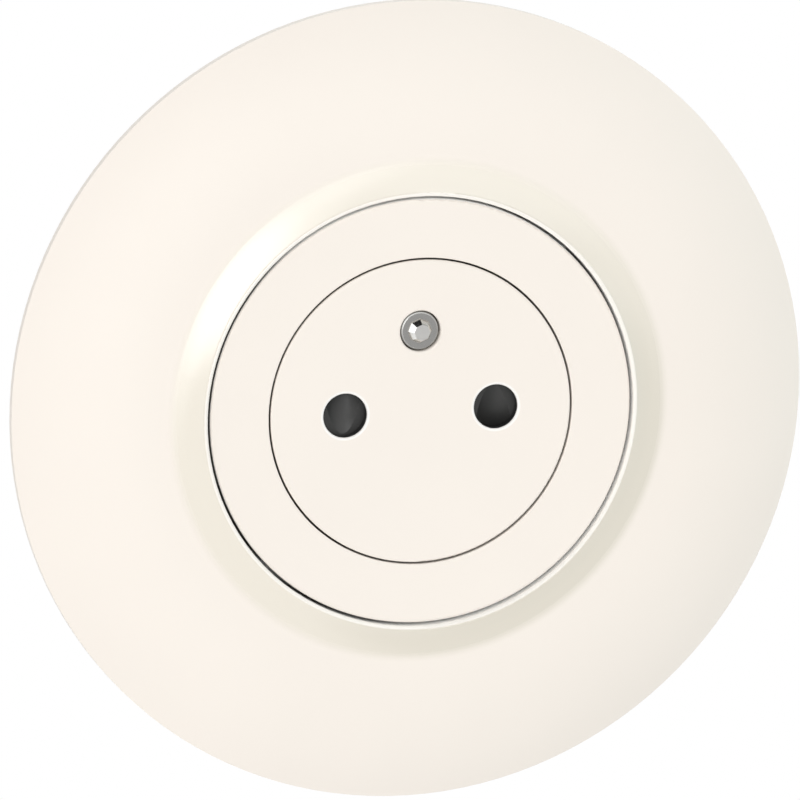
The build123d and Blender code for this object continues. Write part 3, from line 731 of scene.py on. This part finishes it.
def core_of_light(tree, direction):
    """Mask of the brighter core in the wall of light."""
    front = fade(tree, along(tree, direction, forwards), *front_half)
    across = math_node(tree, "SUBTRACT", along(tree, direction, right_and_down), core_center)
    width = fade(tree, math_node(tree, "ABSOLUTE", across), *core_half_width)
    lengthwise = math_node(tree, "ABSOLUTE", along(tree, direction, right_and_up))
    return times(tree, times(tree, width, front), fade(tree, lengthwise, *core_half_length))


def room_light(tree, direction):
    """Colour of the room in a direction: its lights added up, then shaded by the flags."""
    light = shade(cool, ambient_strength)
    light = add_light(tree, light, wall_of_light(tree, direction), warm, wall_strength)
    light = add_light(tree, light, core_of_light(tree, direction), white, core_strength)
    for toward, wide, tight, strength in softboxes:
        light = add_light(tree, light, spot(tree, direction, toward, wide, tight), white, strength)
    fill = spot(tree, direction, *side_fill)
    light = add_light(tree, light, fill, sea_green, side_fill_strength)
    left_over = white
    for toward, wide, tight, strength in flags:
        flag = spot(tree, direction, toward, wide, tight)
        left_over = add_light(tree, left_over, flag, white, -strength)
    shaded = tree.nodes.new("ShaderNodeVectorMath")
    shaded.operation = "MULTIPLY"
    tree.links.new(light, shaded.inputs[0])
    tree.links.new(left_over, shaded.inputs[1])
    return shaded.outputs["Vector"]


def backdrop_share(tree, direction):
    """1 where the white backdrop shows: to the camera, and in what mirrors or looks through."""
    ray = tree.nodes.new("ShaderNodeLightPath")
    glossy = ray.outputs["Is Glossy Ray"]
    mirrored = math_node(tree, "ADD", glossy, ray.outputs["Is Transmission Ray"])
    behind = fade(tree, along(tree, direction, backwards), *backdrop_reach)
    mirrored = times(tree, mirrored, behind)
    return math_node(tree, "MAXIMUM", ray.outputs["Is Camera Ray"], mirrored)


def studio_world():
    """White where the camera looks past the object, and a soft lit room round it."""
    world = bpy.data.worlds.new("studio")
    bpy.context.scene.world = world
    world.use_nodes = True
    tree = world.node_tree
    tree.nodes.clear()
    position = tree.nodes.new("ShaderNodeTexCoord")
    direction = position.outputs["Generated"]
    room = tree.nodes.new("ShaderNodeBackground")
    backdrop = tree.nodes.new("ShaderNodeBackground")
    mix = tree.nodes.new("ShaderNodeMixShader")
    output = tree.nodes.new("ShaderNodeOutputWorld")
    backdrop.inputs["Color"].default_value = (*white, 1)
    tree.links.new(room_light(tree, direction), room.inputs["Color"])
    tree.links.new(backdrop_share(tree, direction), mix.inputs["Fac"])
    tree.links.new(room.outputs["Background"], mix.inputs[1])
    tree.links.new(backdrop.outputs["Background"], mix.inputs[2])
    tree.links.new(mix.outputs["Shader"], output.inputs["Surface"])


studio_world()


# Floor: plain white, shining like the backdrop, seen from above and clear from below

floor_half = 1.5
floor_drop = 0.5 * MM


def pale_floor():
    """A white square just under the plate's rim."""
    z = cad_box[0][2] - floor_drop
    sides = ((-1, -1), (1, -1), (1, 1), (-1, 1))
    corners = [(x * floor_half, y * floor_half, z) for x, y in sides]
    data = bpy.data.meshes.new("floor")
    data.from_pydata(corners, [], [(0, 1, 2, 3)])
    floor = bpy.data.objects.new("floor", data)
    bpy.context.scene.collection.objects.link(floor)
    material = bpy.data.materials.new("floor_white")
    material.use_nodes = True
    tree = material.node_tree
    tree.nodes.clear()
    output = tree.nodes.new("ShaderNodeOutputMaterial")
    glow = tree.nodes.new("ShaderNodeEmission")
    clear = tree.nodes.new("ShaderNodeBsdfTransparent")
    side = tree.nodes.new("ShaderNodeNewGeometry")
    mix = tree.nodes.new("ShaderNodeMixShader")
    glow.inputs["Color"].default_value = (*white, 1)
    tree.links.new(side.outputs["Backfacing"], mix.inputs["Fac"])
    tree.links.new(glow.outputs["Emission"], mix.inputs[1])
    tree.links.new(clear.outputs["BSDF"], mix.inputs[2])
    tree.links.new(mix.outputs["Shader"], output.inputs["Surface"])
    data.materials.append(material)
    floor.visible_diffuse = False
    floor.visible_glossy = False
    floor.visible_shadow = False


pale_floor()


# Camera: a long lens at the photograph's angle, with its angles in degrees

camera_azimuth = -14.93
camera_elevation = 13.11
camera_roll = -0.07
camera_distance = 2.4
camera_lens = 884.6
camera_sensor = 36
camera_aim = Vector((-1.72, -4.0, 0.76)) * MM

back = facing(camera_azimuth, camera_elevation)
right = Vector((0, 0, 1)).cross(back).normalized()
up = back.cross(right)
roll = radians(camera_roll)
right, up = right * cos(roll) + up * sin(roll), up * cos(roll) - right * sin(roll)
camera_data = bpy.data.cameras.new("camera")
camera_data.lens = camera_lens
camera_data.sensor_width = camera_sensor
camera = bpy.data.objects.new("camera", camera_data)
turn = Matrix((right, up, back)).transposed().to_4x4()
camera.matrix_world = Matrix.Translation(camera_aim + back * camera_distance) @ turn
bpy.context.scene.collection.objects.link(camera)
bpy.context.scene.camera = camera
bpy.context.scene.view_settings.view_transform = "Standard"
